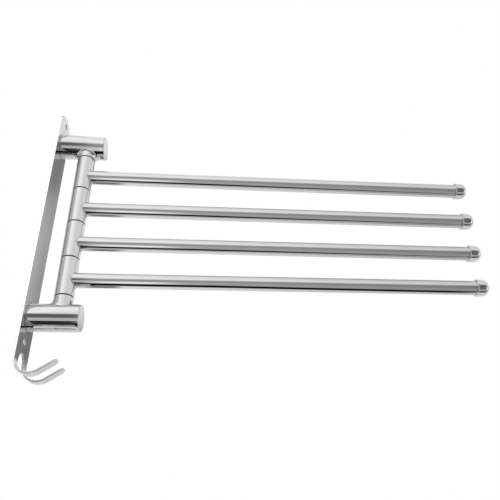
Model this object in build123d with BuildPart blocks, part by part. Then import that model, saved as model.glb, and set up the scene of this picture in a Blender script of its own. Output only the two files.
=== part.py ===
from build123d import *
from math import cos, radians, sin, sqrt
import os

os.makedirs("parts", exist_ok=True)

# Wall-mounted swivel towel rack: four arms that turn one above the other on a vertical shaft.
# Millimetres. X runs along the wall, +Y points into the wall and +Z is up.
# The origin is midway between the two wall screw holes, on the back face of the plate.

# ---- Driving dimensions ----

# Wall plate: one strip of sheet whose lower end is slit into two prongs and bent up as a hook
plate_w = 34.0
sheet_t = 1.5
plate_crown_z = 121.7
plate_crown_r = 18.5
plate_corner_r = 2.0
wall_hole_d = 6.4
wall_hole_pitch = 226.0
slot_w = 14.6
slot_top_z = -123.5
hook_bend_z = -131.1
hook_inside_r = 11.5
hook_rise_deg = 34.0
hook_tip_len = 16.3
prong_tip_r = 4.4
sheet_edge_r = 0.4

# Posts: two solid rounds standing out of the plate, each held by a screw from behind.
# A short collar, blended into the round, faces the sleeves.
post_d = 23.6
post_end_y = -43.6
post_z = {"upper": 87.3, "lower": -92.3}
post_end_round = 1.0
collar_blend_r = 4.5
screw_d = 5.0
screw_head_d = 9.2
screw_sink = 0.1
screw_len = 16.0
socket_af = 3.0
socket_depth = 2.0

# Pivot: a shaft held in blind holes in both posts
pivot_y = -26.6
shaft_d = 10.0
shaft_grip = 16.0
shaft_end_gap = 0.5
shaft_chamfer = 0.5
running_gap = 0.05

# Arms: a sleeve on two bushes, with a bar welded to its side and a cap over the bar's end
arm_count = 4
arm_pitch = 36.4
lowest_seam_z = -73.5
seam_gap = 0.8
washer_t = 0.7
washer_d = 15.6
sleeve_d = 16.4
sleeve_wall = 1.2
sleeve_edge_r = 0.4
bush_len = 10.0
bar_d = 13.5
bar_wall = 0.8
bar_drop = 2.0
arm_reach = 383.3
cap_d = 15.7
cap_rim_d = 16.4
cap_len = 13.0
cap_dome = 6.5
cap_bore_depth = 8.0
cap_rim_chamfer = 0.5

# ---- Derived places ----

post_r = post_d / 2
sleeve_r = sleeve_d / 2
bush_r = sleeve_r - sleeve_wall
top_seam_z = lowest_seam_z + arm_count * arm_pitch
post_side = {"upper": 1, "lower": -1}


def level_plane(z):
    """A horizontal plane at height z, centred on the pivot axis."""
    return Plane((0, pivot_y, z))


def back_face_plane(z):
    """A plane on the back face of the plate at height z, facing the wall."""
    return Plane(origin=(0, 0, z), x_dir=(1, 0, 0), z_dir=(0, 1, 0))


# ---- Wall plate ----

crown_sagitta = plate_crown_r - sqrt(plate_crown_r**2 - (plate_w / 2) ** 2)
shoulder_z = plate_crown_z - crown_sagitta
hook_outside_r = hook_inside_r + sheet_t
plate_bottom_z = hook_bend_z - hook_outside_r
hook_depth = 2 * hook_outside_r + hook_tip_len
tip_normal = (0, sin(radians(hook_rise_deg)), cos(radians(hook_rise_deg)))

with BuildPart() as back_plate:
    # Side view of the bent strip: straight back, round bend, straight rising tip
    with BuildSketch(Plane.YZ):
        with BuildLine():
            Line((0, plate_crown_z), (0, hook_bend_z))
            bend = CenterArc((-hook_outside_r, hook_bend_z), hook_outside_r, 0, -90 - hook_rise_deg)
            PolarLine(bend @ 1, hook_tip_len, direction=bend % 1)
            offset(amount=sheet_t, side=Side.RIGHT)
        make_face()
    extrude(amount=plate_w / 2, both=True)

    # Front view: arched top with rounded corners
    with BuildSketch(Plane.XZ):
        with BuildLine():
            arch = ThreePointArc(
                (-plate_w / 2, shoulder_z), (0, plate_crown_z), (plate_w / 2, shoulder_z)
            )
            Polyline(
                arch @ 1,
                (plate_w / 2, plate_bottom_z - 1),
                (-plate_w / 2, plate_bottom_z - 1),
                arch @ 0,
            )
        make_face()
        fillet(vertices().group_by(Axis.Y)[-1], radius=plate_corner_r)
    extrude(amount=hook_depth, both=True, mode=Mode.INTERSECT)

    # Round-topped slot between the two prongs
    with BuildSketch(Plane.XZ):
        with Locations((0, slot_top_z - slot_w / 2)):
            Circle(slot_w / 2)
            Rectangle(slot_w, hook_depth, align=(Align.CENTER, Align.MAX))
    extrude(amount=hook_depth, both=True, mode=Mode.SUBTRACT)

    # Rounded prong tips, then a small round along the whole outline, front and back
    tip_edges = edges().filter_by(Axis((0, 0, 0), tip_normal)).group_by(Axis.Y)[0]
    fillet(tip_edges, radius=prong_tip_r)
    fillet(edges().filter_by(lambda edge: edge.length > 1.5 * sheet_t), radius=sheet_edge_r)

    # Plain holes for the wall screws
    with BuildSketch(Plane.XZ):
        with GridLocations(0, wall_hole_pitch, 1, 2):
            Circle(wall_hole_d / 2)
    extrude(amount=sheet_t, mode=Mode.SUBTRACT)

    # Countersunk holes for the post screws, opening at the back
    with Locations(*[back_face_plane(z) for z in post_z.values()]):
        CounterSinkHole(screw_d / 2, screw_head_d / 2, depth=sheet_t, counter_sink_angle=90)

back_plate.part.label = "back_plate"
export_step(back_plate.part, "parts/back_plate.step")

# ---- Posts and their screws ----

for name, z in post_z.items():
    inward = -post_side[name]
    seam_z = top_seam_z if name == "upper" else lowest_seam_z
    collar_face_z = seam_z - inward * seam_gap / 2
    shaft_hole_end_z = z + inward * (post_r - shaft_grip - shaft_end_gap)

    with BuildPart() as post:
        with BuildSketch(Plane((0, -sheet_t, z), z_dir=(0, -1, 0))):
            Circle(post_r)
        extrude(amount=-post_end_y - sheet_t)
        fillet(edges().filter_by(GeomType.CIRCLE).sort_by(Axis.Y)[0], radius=post_end_round)
        # Collar, blended into the round and then faced off level, so the blend may reach its face
        with BuildSketch(level_plane(z)):
            Circle(sleeve_r)
        extrude(amount=inward * (post_r + 2 * collar_blend_r))
        fillet(edges().filter_by(GeomType.BSPLINE), radius=collar_blend_r)
        split(bisect_by=level_plane(collar_face_z), keep=Keep.TOP if name == "upper" else Keep.BOTTOM)
        rim = edges().group_by(Axis.Z)[0 if name == "upper" else -1]
        fillet(rim, radius=sleeve_edge_r)
        # Blind hole for the shaft, opening in the collar's face
        with BuildSketch(level_plane(shaft_hole_end_z)):
            Circle(shaft_d / 2)
        extrude(amount=collar_face_z - shaft_hole_end_z, mode=Mode.SUBTRACT)
        # Tapped hole and the rest of the screw's countersink
        with Locations(back_face_plane(z)):
            CounterSinkHole(screw_d / 2, screw_head_d / 2, depth=screw_len, counter_sink_angle=90)
    post.part.label = f"{name}_post"
    export_step(post.part, f"parts/{name}_post.step")

    with BuildPart() as screw:
        head_r = screw_head_d / 2 - screw_sink
        with BuildSketch(Plane.YZ):
            with BuildLine():
                Polyline(
                    (-screw_sink, z),
                    (-screw_sink, z + head_r),
                    (-screw_sink - head_r + screw_d / 2, z + screw_d / 2),
                    (-screw_len, z + screw_d / 2),
                    (-screw_len, z),
                    close=True,
                )
            make_face()
        revolve(axis=Axis((0, 0, z), (0, 1, 0)))
        with BuildSketch(back_face_plane(z)):
            RegularPolygon(socket_af / 2, 6, major_radius=False)
        extrude(amount=-socket_depth, mode=Mode.SUBTRACT)
    screw.part.label = f"{name}_post_screw"
    export_step(screw.part, f"parts/{name}_post_screw.step")

# ---- Pivot shaft and the washers between the sleeves ----

shaft_low_z = post_z["lower"] + post_r - shaft_grip
shaft_high_z = post_z["upper"] - post_r + shaft_grip

with BuildPart() as pivot_shaft:
    with BuildSketch(level_plane(shaft_low_z)):
        Circle(shaft_d / 2)
    extrude(amount=shaft_high_z - shaft_low_z)
    chamfer(edges().filter_by(GeomType.CIRCLE), length=shaft_chamfer)
pivot_shaft.part.label = "pivot_shaft"
export_step(pivot_shaft.part, "parts/pivot_shaft.step")

for number in range(1, arm_count + 2):
    seam_z = top_seam_z - (number - 1) * arm_pitch
    with BuildPart() as washer:
        with BuildSketch(level_plane(seam_z - washer_t / 2)):
            Circle(washer_d / 2)
            Circle(shaft_d / 2 + running_gap, mode=Mode.SUBTRACT)
        extrude(amount=washer_t)
    washer.part.label = f"washer_{number}"
    export_step(washer.part, f"parts/washer_{number}.step")

# ---- Arms, numbered from the top ----

for number in range(1, arm_count + 1):
    sleeve_low_z = top_seam_z - number * arm_pitch + seam_gap / 2
    sleeve_high_z = sleeve_low_z + arm_pitch - seam_gap
    bar_z = (sleeve_low_z + sleeve_high_z) / 2 - bar_drop
    bar_axis = Axis((0, pivot_y, bar_z), (0, -1, 0))
    bar_plane = Plane((0, pivot_y, bar_z), z_dir=(0, -1, 0))

    with BuildPart() as sleeve:
        with BuildSketch(level_plane(sleeve_low_z)):
            Circle(sleeve_r)
            Circle(bush_r, mode=Mode.SUBTRACT)
        extrude(amount=sleeve_high_z - sleeve_low_z)
        fillet(edges().filter_by(GeomType.CIRCLE).sort_by(SortBy.RADIUS)[-2:], radius=sleeve_edge_r)
    sleeve.part.label = f"sleeve_{number}"
    export_step(sleeve.part, f"parts/sleeve_{number}.step")

    for place, bush_z in (("upper", sleeve_high_z - bush_len), ("lower", sleeve_low_z)):
        with BuildPart() as bush:
            with BuildSketch(level_plane(bush_z)):
                Circle(bush_r)
                Circle(shaft_d / 2 + running_gap, mode=Mode.SUBTRACT)
            extrude(amount=bush_len)
        bush.part.label = f"{place}_bush_{number}"
        export_step(bush.part, f"parts/{place}_bush_{number}.step")

    with BuildPart() as bar:
        with BuildSketch(bar_plane):
            Circle(bar_d / 2)
            Circle(bar_d / 2 - bar_wall, mode=Mode.SUBTRACT)
        extrude(amount=arm_reach - cap_len + cap_bore_depth)
        # The root is coped to sit on the round of the sleeve
        with BuildSketch(level_plane(bar_z - bar_d)):
            Circle(sleeve_r)
        extrude(amount=2 * bar_d, mode=Mode.SUBTRACT)
    bar.part.label = f"bar_{number}"
    export_step(bar.part, f"parts/bar_{number}.step")

    with BuildPart() as end_cap:
        rim_x = arm_reach - cap_len
        dome_x = arm_reach - cap_dome
        # Half section: local X runs outwards along the bar, local Y is the radius
        with BuildSketch(Plane((0, pivot_y, bar_z), x_dir=(0, -1, 0), z_dir=(-1, 0, 0))):
            with BuildLine():
                dome = EllipticalCenterArc(
                    (dome_x, 0), cap_dome, cap_d / 2, start_angle=0, arc_size=90
                )
                Polyline(
                    dome @ 1,
                    (rim_x + cap_rim_chamfer, cap_rim_d / 2),
                    (rim_x, cap_rim_d / 2 - cap_rim_chamfer),
                    (rim_x, bar_d / 2),
                    (rim_x + cap_bore_depth, bar_d / 2),
                    (rim_x + cap_bore_depth, 0),
                    dome @ 0,
                )
            make_face()
        revolve(axis=bar_axis)
    end_cap.part.label = f"end_cap_{number}"
    export_step(end_cap.part, f"parts/end_cap_{number}.step")
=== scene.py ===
from math import acos, atan2, asin, cos, degrees, pi, radians, sin, sqrt

import bmesh
import bpy
from mathutils import Matrix, Vector


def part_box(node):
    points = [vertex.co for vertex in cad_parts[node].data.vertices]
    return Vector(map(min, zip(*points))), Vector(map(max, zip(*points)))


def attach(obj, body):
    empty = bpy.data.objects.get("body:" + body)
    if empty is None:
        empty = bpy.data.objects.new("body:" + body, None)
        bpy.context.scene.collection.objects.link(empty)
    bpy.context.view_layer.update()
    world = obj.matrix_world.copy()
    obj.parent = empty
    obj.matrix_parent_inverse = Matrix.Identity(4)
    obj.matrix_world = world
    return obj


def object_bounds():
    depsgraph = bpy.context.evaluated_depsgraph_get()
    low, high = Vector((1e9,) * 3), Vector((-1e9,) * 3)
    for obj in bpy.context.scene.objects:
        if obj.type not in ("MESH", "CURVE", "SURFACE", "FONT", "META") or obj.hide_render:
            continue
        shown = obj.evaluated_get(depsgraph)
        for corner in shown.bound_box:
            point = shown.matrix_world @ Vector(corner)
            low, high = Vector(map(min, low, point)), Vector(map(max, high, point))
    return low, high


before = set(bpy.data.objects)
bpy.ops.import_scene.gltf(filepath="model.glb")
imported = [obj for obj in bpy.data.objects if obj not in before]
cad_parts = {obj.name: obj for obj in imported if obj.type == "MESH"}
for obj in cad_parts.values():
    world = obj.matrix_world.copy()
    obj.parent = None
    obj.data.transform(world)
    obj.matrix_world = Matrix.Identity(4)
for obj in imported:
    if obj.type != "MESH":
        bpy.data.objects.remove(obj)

# Looks of a wall-mounted swivel towel rack of polished stainless steel. Metres.

cad_lo, cad_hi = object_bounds()

# ---------------------------------------------------------------- places read from the frame


def centre(node):
    lo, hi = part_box(node)
    return (Vector(lo) + Vector(hi)) / 2


def size(node):
    lo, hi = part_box(node)
    return Vector(hi) - Vector(lo)


ARMS = (1, 2, 3, 4)
PIVOT_Y = centre("pivot_shaft").y
SLEEVE_R = size("sleeve_1").x / 2
BAR_R = size("bar_1").x / 2
BAR_Z = {n: centre(f"bar_{n}").z for n in ARMS}

# ---------------------------------------------------------------- node tree helpers


class Tree:
    """A small wrapper that adds nodes to one material and joins them."""

    def __init__(self, name):
        self.material = bpy.data.materials.new(name)
        self.material.use_nodes = True
        self.nodes = self.material.node_tree.nodes
        self.links = self.material.node_tree.links
        self.nodes.clear()

    def add(self, kind, inputs=None, **settings):
        node = self.nodes.new(kind)
        for key, value in settings.items():
            setattr(node, key, value)
        for key, value in (inputs or {}).items():
            if isinstance(value, bpy.types.NodeSocket):
                self.links.new(value, node.inputs[key])
            else:
                node.inputs[key].default_value = value
        return node

    def math(self, operation, a, b=0.0):
        return self.add("ShaderNodeMath", {0: a, 1: b}, operation=operation).outputs[0]

    def remap(self, value, from_lo, from_hi, to_lo, to_hi, smooth=False):
        node = self.add(
            "ShaderNodeMapRange",
            {0: value, 1: from_lo, 2: from_hi, 3: to_lo, 4: to_hi},
            interpolation_type="SMOOTHSTEP" if smooth else "LINEAR",
        )
        return node.outputs[0]

    def noise(self, vector, scale, stretch=(1, 1, 1), detail=3.0, rough=0.5, offset=(0, 0, 0)):
        """Noise in object space, stretched by dividing the frequency along chosen axes."""
        placed = self.add(
            "ShaderNodeMapping", {"Vector": vector, "Scale": stretch, "Location": offset}
        )
        node = self.add(
            "ShaderNodeTexNoise",
            {"Vector": placed.outputs[0], "Scale": scale, "Detail": detail, "Roughness": rough},
        )
        return node.outputs["Fac"]

    def bump(self, height, distance, normal=None):
        inputs = {"Height": height, "Distance": distance, "Strength": 1.0}
        if normal is not None:
            inputs["Normal"] = normal
        return self.add("ShaderNodeBump", inputs).outputs[0]

    def grey(self, value):
        """A neutral colour from one number."""
        return self.add("ShaderNodeCombineColor", {0: value, 1: value, 2: value}).outputs[0]

    def finish(self, shader):
        self.add("ShaderNodeOutputMaterial", {"Surface": shader.outputs[0]})
        return self.material


# ---------------------------------------------------------------- metals and nylon

STEEL_TONE = (0.625, 0.66)
MARK_DEPTH = 0.4e-6
GRAIN_DEPTH = 0.2e-6


def polished_steel(
    name,
    fine_axes,
    rough=(0.03, 0.06),
    wave=2.2e-5,
    wave_scale=90.0,
    crease_shade_tone=0.45,
    seed=0.0,
):
    """Buffed stainless steel.

    fine_axes is the frequency of the last polishing marks along X, Y and Z. wave is the height of
    the broad ripples that polishing leaves, in metres, and wave_scale their frequency.
    crease_shade_tone is how much of its brightness the steel keeps in a tight corner under the
    painted shade there.
    """
    t = Tree(name)
    place = t.add("ShaderNodeTexCoord").outputs["Object"]
    shift = (seed, 2.7 * seed, -1.3 * seed)

    marks = t.noise(place, 1.0, stretch=fine_axes, detail=4.0, rough=0.6, offset=shift)
    cloud = t.noise(place, 55.0, detail=3.0, offset=shift)
    swirl = t.noise(place, wave_scale, detail=1.0, rough=0.4, offset=shift)

    # Painted shade: an ambient-occlusion mask darkens the colour where two pieces meet. It stands in
    # for the shade in these tight corners, and also for the soil and oxide that stay there out of the
    # polishing wheel's reach
    crease_shade = t.add("ShaderNodeAmbientOcclusion", {"Distance": 0.0016}, samples=8).outputs["AO"]
    crease_shade = t.remap(crease_shade, 0.25, 0.8, crease_shade_tone, 1.0, smooth=True)

    tint = t.math("MULTIPLY", t.remap(cloud, 0.3, 0.7, *STEEL_TONE), crease_shade)
    gloss = t.math(
        "ADD", t.remap(cloud, 0.3, 0.75, *rough), t.remap(marks, 0.45, 0.8, 0.0, 0.05)
    )
    relief = t.bump(swirl, wave)
    relief = t.bump(marks, MARK_DEPTH, normal=relief)
    shader = t.add(
        "ShaderNodeBsdfPrincipled",
        {"Base Color": t.grey(tint), "Metallic": 1.0, "Roughness": gloss, "Normal": relief},
    )
    return t.finish(shader)


def sheet_steel():
    """Bright rolled sheet steel, with a fine grain along its length and faint patches."""
    t = Tree("bright_sheet_steel")
    place = t.add("ShaderNodeTexCoord").outputs["Object"]
    x, y, z = t.add("ShaderNodeSeparateXYZ", {0: place}).outputs
    grain = t.noise(place, 1.0, stretch=(2600.0, 2600.0, 40.0), detail=4.0, rough=0.65)
    patch = t.noise(place, 28.0, stretch=(1.0, 1.0, 0.6), detail=3.0)
    # Painted shade: an ambient-occlusion mask darkens the sheet's colour near the posts and in its
    # corners
    crease_shade = t.add("ShaderNodeAmbientOcclusion", {"Distance": 0.006}, samples=16).outputs["AO"]
    crease_shade = t.remap(crease_shade, 0.4, 0.85, 0.30, 1.0, smooth=True)
    tint = t.math(
        "ADD", t.remap(grain, 0.3, 0.7, -0.01, 0.01), t.remap(patch, 0.3, 0.7, 0.58, 0.62)
    )
    gloss = t.math(
        "ADD", t.remap(patch, 0.3, 0.7, 0.06, 0.10), t.remap(grain, 0.3, 0.7, -0.01, 0.02)
    )

    # 1 on the sheared edges, which face along the wall, and 0 on the front and the back
    normal = t.add("ShaderNodeNewGeometry").outputs["Normal"]
    facing = t.math("ABSOLUTE", t.add("ShaderNodeSeparateXYZ", {0: normal}).outputs[1])
    edge_on = t.remap(facing, 0.2, 0.65, 1.0, 0.0, smooth=True)
    # The walls of the holes and of the slot, all near the strip's middle line, are duller
    middle = t.remap(t.math("ABSOLUTE", x), 0.0085, 0.0095, 1.0, 0.0)
    middle = t.math("MULTIPLY", middle, t.remap(z, 0.1165, 0.1185, 1.0, 0.0))
    hole_wall = t.math("MULTIPLY", edge_on, middle)
    gloss = t.math("ADD", gloss, t.math("MULTIPLY", hole_wall, 0.45))
    # Painted highlight: the outer edges of the flat strip are painted brighter than its faces and its
    # hook
    painted_edge_highlight = t.math("SUBTRACT", edge_on, hole_wall)
    flat = t.remap(y, -0.0035, -0.0018, 0.0, 0.38, smooth=True)
    tint = t.math("ADD", tint, t.math("MULTIPLY", painted_edge_highlight, flat))
    # The sheet's edges get none of the painted shade
    crease_shade = t.math("MAXIMUM", crease_shade, edge_on)

    shader = t.add(
        "ShaderNodeBsdfPrincipled",
        {
            "Base Color": t.grey(t.math("MULTIPLY", tint, crease_shade)),
            "Metallic": 1.0,
            "Roughness": gloss,
            "Normal": t.bump(grain, GRAIN_DEPTH),
        },
    )
    return t.finish(shader)


def turned_steel(name, tone, rough):
    """Plain turned steel for the shaft and the screws, with rings from the tool."""
    t = Tree(name)
    place = t.add("ShaderNodeTexCoord").outputs["Object"]
    rings = t.noise(place, 1.0, stretch=(60.0, 60.0, 3200.0), detail=3.0)
    cloud = t.noise(place, 120.0, detail=3.0)
    shader = t.add(
        "ShaderNodeBsdfPrincipled",
        {
            "Base Color": t.grey(t.remap(cloud, 0.3, 0.7, tone - 0.04, tone + 0.04)),
            "Metallic": 1.0,
            "Roughness": t.remap(rings, 0.3, 0.7, rough - 0.06, rough + 0.08),
            "Normal": t.bump(rings, 5.0e-6),
        },
    )
    return t.finish(shader)


def dark_nylon():
    """Moulded black nylon, slightly greasy, with a fine eroded texture."""
    t = Tree("black_nylon")
    place = t.add("ShaderNodeTexCoord").outputs["Object"]
    grain = t.noise(place, 2500.0, detail=4.0, rough=0.6)
    cloud = t.noise(place, 160.0, detail=2.0)
    shader = t.add(
        "ShaderNodeBsdfPrincipled",
        {
            "Base Color": t.grey(t.remap(cloud, 0.3, 0.7, 0.018, 0.04)),
            "Roughness": t.remap(grain, 0.3, 0.7, 0.42, 0.62),
            "Normal": t.bump(grain, 1.2e-5),
        },
    )
    return t.finish(shader)


# The last polishing marks run round the sleeves, posts and caps, and along the bars
bar_steel = polished_steel(
    "polished_steel_bar", (1500.0, 14.0, 1500.0), wave=0.3e-5, wave_scale=30.0, crease_shade_tone=0.8
)
sleeve_steel = polished_steel("polished_steel_sleeve", (40.0, 40.0, 2400.0), wave=0.5e-5, seed=3.0)
post_steel = polished_steel("polished_steel_post", (60.0, 2000.0, 60.0), wave=1.6e-5, seed=7.0)
cap_steel = polished_steel(
    "polished_steel_cap", (80.0, 2400.0, 80.0), wave=0.3e-5, crease_shade_tone=0.95, seed=11.0
)
weld_steel = polished_steel(
    "polished_steel_weld", (900.0, 900.0, 900.0), rough=(0.08, 0.16), seed=15.0
)
plate_steel = sheet_steel()
shaft_steel = turned_steel("turned_shaft_steel", 0.55, 0.22)
screw_steel = turned_steel("screw_steel", 0.5, 0.3)
nylon = dark_nylon()

FINISH = {
    "back_plate": plate_steel,
    "pivot_shaft": shaft_steel,
    "upper_post_screw": screw_steel,
    "lower_post_screw": screw_steel,
    "upper_post": post_steel,
    "lower_post": post_steel,
}
for n in ARMS:
    FINISH[f"sleeve_{n}"] = sleeve_steel
    FINISH[f"bar_{n}"] = bar_steel
    FINISH[f"end_cap_{n}"] = cap_steel
for name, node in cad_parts.items():
    material = FINISH.get(name, nylon)
    for material_slot in node.material_slots:
        material_slot.material = material

# ---------------------------------------------------------------- weld beads


BEAD_R = 0.00055
BEAD_SINK = 0.00045
BEAD_SIDES = 12
BEAD_STEPS = 120


def closed_tube(name, rings, material, body):
    """A closed loop of closed cross-sections as one smooth mesh piece."""
    bm = bmesh.new()
    made = [[bm.verts.new(p) for p in ring] for ring in rings]
    around, across = len(made), len(made[0])
    for i in range(around):
        near, far = made[i], made[(i + 1) % around]
        for j in range(across):
            k = (j + 1) % across
            bm.faces.new((near[j], near[k], far[k], far[j]))
    bmesh.ops.recalc_face_normals(bm, faces=bm.faces)
    for face in bm.faces:
        face.smooth = True
    mesh = bpy.data.meshes.new(name)
    bm.to_mesh(mesh)
    bm.free()
    mesh.materials.append(material)
    piece = bpy.data.objects.new(name, mesh)
    bpy.context.scene.collection.objects.link(piece)
    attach(piece, body)
    return piece


def bead_ring(corner, along, outward):
    """One round cross-section of a bead, its centre sunk into the corner."""
    middle = corner + (along + outward).normalized() * (BEAD_R - BEAD_SINK)
    turns = (2 * pi * j / BEAD_SIDES for j in range(BEAD_SIDES))
    return [middle + (along * cos(turn) + outward * sin(turn)) * BEAD_R for turn in turns]


def bar_bead(n):
    """The bead round a bar's root, which follows the saddle where the bar meets its sleeve."""
    rings = []
    for i in range(BEAD_STEPS):
        turn = 2 * pi * i / BEAD_STEPS
        across = BAR_R * cos(turn)
        saddle_y = PIVOT_Y - sqrt(SLEEVE_R**2 - across**2)
        corner = Vector((across, saddle_y, BAR_Z[n] + BAR_R * sin(turn)))
        outward = Vector((cos(turn), 0, sin(turn)))
        rings.append(bead_ring(corner, Vector((0, -1, 0)), outward))
    return closed_tube(f"bar_weld_{n}", rings, weld_steel, f"arm_{n}")


for n in ARMS:
    bar_bead(n)

# ---------------------------------------------------------------- studio

world = bpy.data.worlds.new("white_studio")
bpy.context.scene.world = world
world.use_nodes = True
world.node_tree.nodes["Background"].inputs["Color"].default_value = (1.0, 1.0, 1.0, 1.0)
world.node_tree.nodes["Background"].inputs["Strength"].default_value = 1.0
bpy.context.scene.view_settings.view_transform = "Standard"


FLOOR_HALF = 14.0
FLOOR_DROP = 0.30


def plain_floor():
    """A pale floor well below the rack."""
    half, z = FLOOR_HALF, cad_lo.z - FLOOR_DROP
    corners = [(-half, -half, z), (half, -half, z), (half, half, z), (-half, half, z)]
    mesh = bpy.data.meshes.new("floor")
    mesh.from_pydata(corners, [], [(0, 1, 2, 3)])
    t = Tree("pale_floor")
    place = t.add("ShaderNodeTexCoord").outputs["Object"]
    shade = t.remap(t.noise(place, 2.0, detail=2.0), 0.3, 0.7, 0.84, 0.87)
    shader = t.add("ShaderNodeBsdfPrincipled", {"Base Color": t.grey(shade), "Roughness": 0.9})
    mesh.materials.append(t.finish(shader))
    floor = bpy.data.objects.new("floor", mesh)
    bpy.context.scene.collection.objects.link(floor)
    floor.visible_glossy = False


# The light tent is a sphere round the rack, made of soft bands that run in the bars' direction. Each
# band has the angles where it starts and ends (0 is the -X side, 90 overhead, 180 the +X side, -90
# straight below), the softness of its edges in degrees, and its brightness. A later band lies over
# the earlier ones. There is one set at the wall's end, one along the middle and one at the front. The
# numbers are rounded, and come from a study of the bands on the steel in the reference photo.
WALL_BASE = 0.90
WALL_BANDS = (
    (-135, -120, 15, 0.60),  # gap low on the +X side
    (-90, -42, 12, 0.03),  # black cloth below
    (-40, -20, 12, 0.65),  # strip light
    (-20, 13, 12, 0.15),  # dark wall on the -X side
    (23, 90, 20, 1.15),  # upper lamp on the -X side
    (50, 70, 12, 1.30),  # its bright middle
    (110, 140, 24, 0.62),  # gap in the roof
)
MIDDLE_BASE = 0.95
MIDDLE_BANDS = (
    (-98, -56, 22, 0.0),
    (-56, -28, 14, 0.50),
    (-28, 12, 22, 0.41),
    (16, 58, 24, 1.15),
    (92, 150, 28, 1.15),
)
FRONT_BASE = 0.90
FRONT_BANDS = (
    (-90, -66, 12, 0.05),
    (-62, -50, 10, 0.45),
    (-46, 23, 10, 0.18),
    (29, 75, 18, 0.95),
    (105, 150, 25, 1.00),
)
# Along the middle the tent gets brighter towards the wall, and the bands below it turn by up to
# TURN_BELOW degrees on the way to the front.
WALL_GAIN = 0.5
TURN_BELOW = 45.0
# Brightness of a strip light low on the -X side, close to the wall's end
STRIP_LIGHT = 1.30
# Two grey cards low on the +X side: the first faces the wall plate, and gets brighter by CARD_GAIN
# for each degree that it turns away from it, up to CARD_TURN_MAX degrees. The second, beside it,
# faces the posts' ends.
CARD, CARD_MIDDLE = 0.25, 0.53
CARD_TURN = 18.2
CARD_TURN_MAX = 3.0
CARD_GAIN = 0.28
END_CARD, END_CARD_MIDDLE, END_CARD_TOP = 0.50, 0.88, 0.94
# Brightness of the other parts of the tent
BEHIND = 0.25
ROOF_SEAM = 0.28
WALL_EDGE = 1.30
FRONT_END = 0.80
FRONT_WINDOW = 1.80
BACK_END = 0.70
TENT_R = 20.0
TENT_STEP = 1


def smooth(x):
    x = min(1.0, max(0.0, x))
    return x * x * (3 - 2 * x)


def window(x, lo, hi, soft):
    """1 between lo and hi, falling to 0 over soft on both sides."""
    return smooth((x - lo) / soft + 0.5) * smooth((hi - x) / soft + 0.5)


def towards(level, target, share):
    """level moved towards target by a share from 0 to 1."""
    return level + (target - level) * share


def banded(angle, base, bands):
    """Brightness at an angle round the bars' direction, where bands lie over a base."""
    level = base
    for start, end, soft, target in bands:
        level = towards(level, target, window(angle, start, end, soft))
    return level


def tent_level(d):
    """Brightness of the light tent in direction d."""
    angle = degrees(atan2(d.z, -d.x))
    below = angle - TURN_BELOW * min(0.0, d.y) * smooth(-angle / 30)
    level = banded(below, MIDDLE_BASE, MIDDLE_BANDS) * (1.0 + WALL_GAIN * d.y)
    share = window(angle, -54, -31, 16) * window(d.y, 0.08, 0.215, 0.10)
    level = towards(level, STRIP_LIGHT, share)
    level = towards(level, banded(angle, WALL_BASE, WALL_BANDS), smooth((d.y - 0.20) / 0.04))
    level = towards(level, banded(angle, FRONT_BASE, FRONT_BANDS), smooth((-0.40 - d.y) / 0.12))

    # Behind the rack the tent is dark below, towards the +X side
    share = window(d.y, 0.168, 0.216, 0.014) * window(angle, -156, -100, 6.0)
    level = towards(level, BEHIND, share)
    # A dark seam in its roof close to the wall
    share = window(d.y, 0.252, 2.0, 0.03) * window(angle, 99, 132, 12.0)
    level = towards(level, ROOF_SEAM, share)
    # A bright edge beside the wall, low on the -X side
    edge_start = 0.30 - 0.0026 * (angle - 21)
    share = window(d.y, edge_start, 2.0, 0.012) * window(angle, 12, 42, 8.0)
    level = towards(level, WALL_EDGE, share)

    # The two cards, placed by compass turn and height
    turn, rise = degrees(atan2(-d.y, d.x)), degrees(asin(d.z))
    gain = 1.0 + CARD_GAIN * min(CARD_TURN_MAX, turn - CARD_TURN)
    share = window(turn, 15.8, 46, 1.5) * window(rise, 15.5, 37, 1.2)
    level = towards(level, towards(CARD, CARD_MIDDLE, window(rise, 20.2, 32.4, 3.0)) * gain, share)
    share = window(turn, 10.5, 15.2, 1.2) * window(rise, 17, 42, 2.0)
    end_card = towards(END_CARD, END_CARD_MIDDLE, window(rise, 20.2, 30, 1.6))
    end_card = towards(end_card, END_CARD_TOP, window(rise, 36.6, 90, 1.6))
    level = towards(level, end_card, share)

    # The tent's front end is plain, with a bright window beside it, low on the -X side. The end
    # behind the wall plate is plain too.
    out = degrees(acos(max(-1.0, min(1.0, -d.y))))
    level = towards(level, FRONT_END, window(out, -10, 14, 6.0))
    level = towards(level, FRONT_WINDOW, window(out, 20, 36, 5.0) * window(angle, -62, 2, 10.0))
    return towards(level, BACK_END, window(out, 128, 190, 16.0))


def hide_from_all_but_reflections(obj):
    obj.visible_camera = False
    obj.visible_diffuse = False
    obj.visible_shadow = False
    obj.visible_transmission = False


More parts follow.
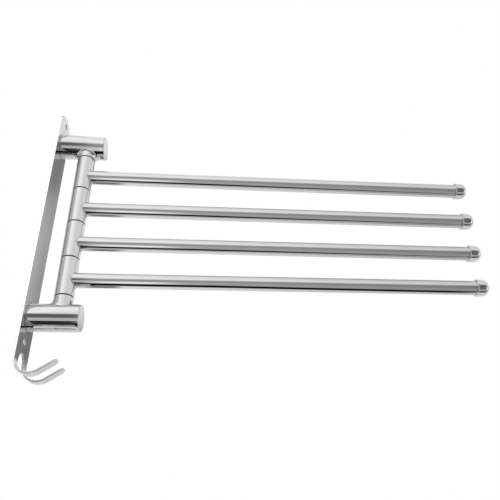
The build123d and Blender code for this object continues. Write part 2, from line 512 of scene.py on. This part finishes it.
def light_tent():
    """The tent as a sphere with a brightness at each corner. Only reflections show it."""
    middle = (cad_lo + cad_hi) / 2
    columns, rows = 360 // TENT_STEP, 180 // TENT_STEP
    verts, levels, faces = [], [], []
    for i in range(rows + 1):
        out = radians(i * TENT_STEP)
        for j in range(columns):
            turn = radians(j * TENT_STEP)
            d = Vector((-sin(out) * cos(turn), -cos(out), sin(out) * sin(turn)))
            verts.append(middle + d * TENT_R)
            levels.append(tent_level(d))
    for i in range(rows):
        row, below = i * columns, (i + 1) * columns
        for j in range(columns):
            k = (j + 1) % columns
            faces.append((row + j, row + k, below + k, below + j))
    mesh = bpy.data.meshes.new("light_tent")
    mesh.from_pydata(verts, [], faces)
    level = mesh.color_attributes.new("level", "FLOAT_COLOR", "POINT")
    for corner, value in zip(level.data, levels):
        corner.color = (value, value, value, 1.0)
    t = Tree("light_tent")
    colour = t.add("ShaderNodeAttribute", attribute_name="level").outputs["Color"]
    mesh.materials.append(t.finish(t.add("ShaderNodeEmission", {"Color": colour, "Strength": 1.0})))
    t.material.cycles.emission_sampling = "NONE"
    tent = bpy.data.objects.new("light_tent", mesh)
    bpy.context.scene.collection.objects.link(tent)
    hide_from_all_but_reflections(tent)


plain_floor()
light_tent()

top = bpy.data.lights.new("overhead_softbox", "AREA")
top.shape, top.size, top.size_y, top.energy = "RECTANGLE", 1.6, 1.6, 9.0
top_light = bpy.data.objects.new("overhead_softbox", top)
bpy.context.scene.collection.objects.link(top_light)
top_light.location = (-0.3, -0.3, 1.9)
top_light.visible_glossy = False

# ---------------------------------------------------------------- camera


def aimed_camera(place, yaw, pitch, roll, lens, shift):
    """A camera at place that looks along +X turned by yaw, tipped up by pitch and rolled."""
    level = Vector((cos(yaw), sin(yaw), 0))
    side = Vector((sin(yaw), -cos(yaw), 0))
    ahead = cos(pitch) * level + sin(pitch) * Vector((0, 0, 1))
    upper = cos(pitch) * Vector((0, 0, 1)) - sin(pitch) * level
    right = cos(roll) * side - sin(roll) * upper
    up = cos(roll) * upper + sin(roll) * side
    data = bpy.data.cameras.new("camera")
    data.lens, data.sensor_width = lens, 36.0
    data.shift_x, data.shift_y = shift
    data.clip_start, data.clip_end = 0.01, 60.0
    camera = bpy.data.objects.new("camera", data)
    bpy.context.scene.collection.objects.link(camera)
    turn = Matrix((right, up, -ahead)).transposed()
    camera.matrix_world = Matrix.Translation(place) @ turn.to_4x4()
    bpy.context.scene.camera = camera


aimed_camera(
    place=(-0.457914, -0.152068, -0.271617),
    yaw=-0.122, pitch=0.506, roll=0.033,
    lens=40.503, shift=(-0.0471, -0.0116),
)
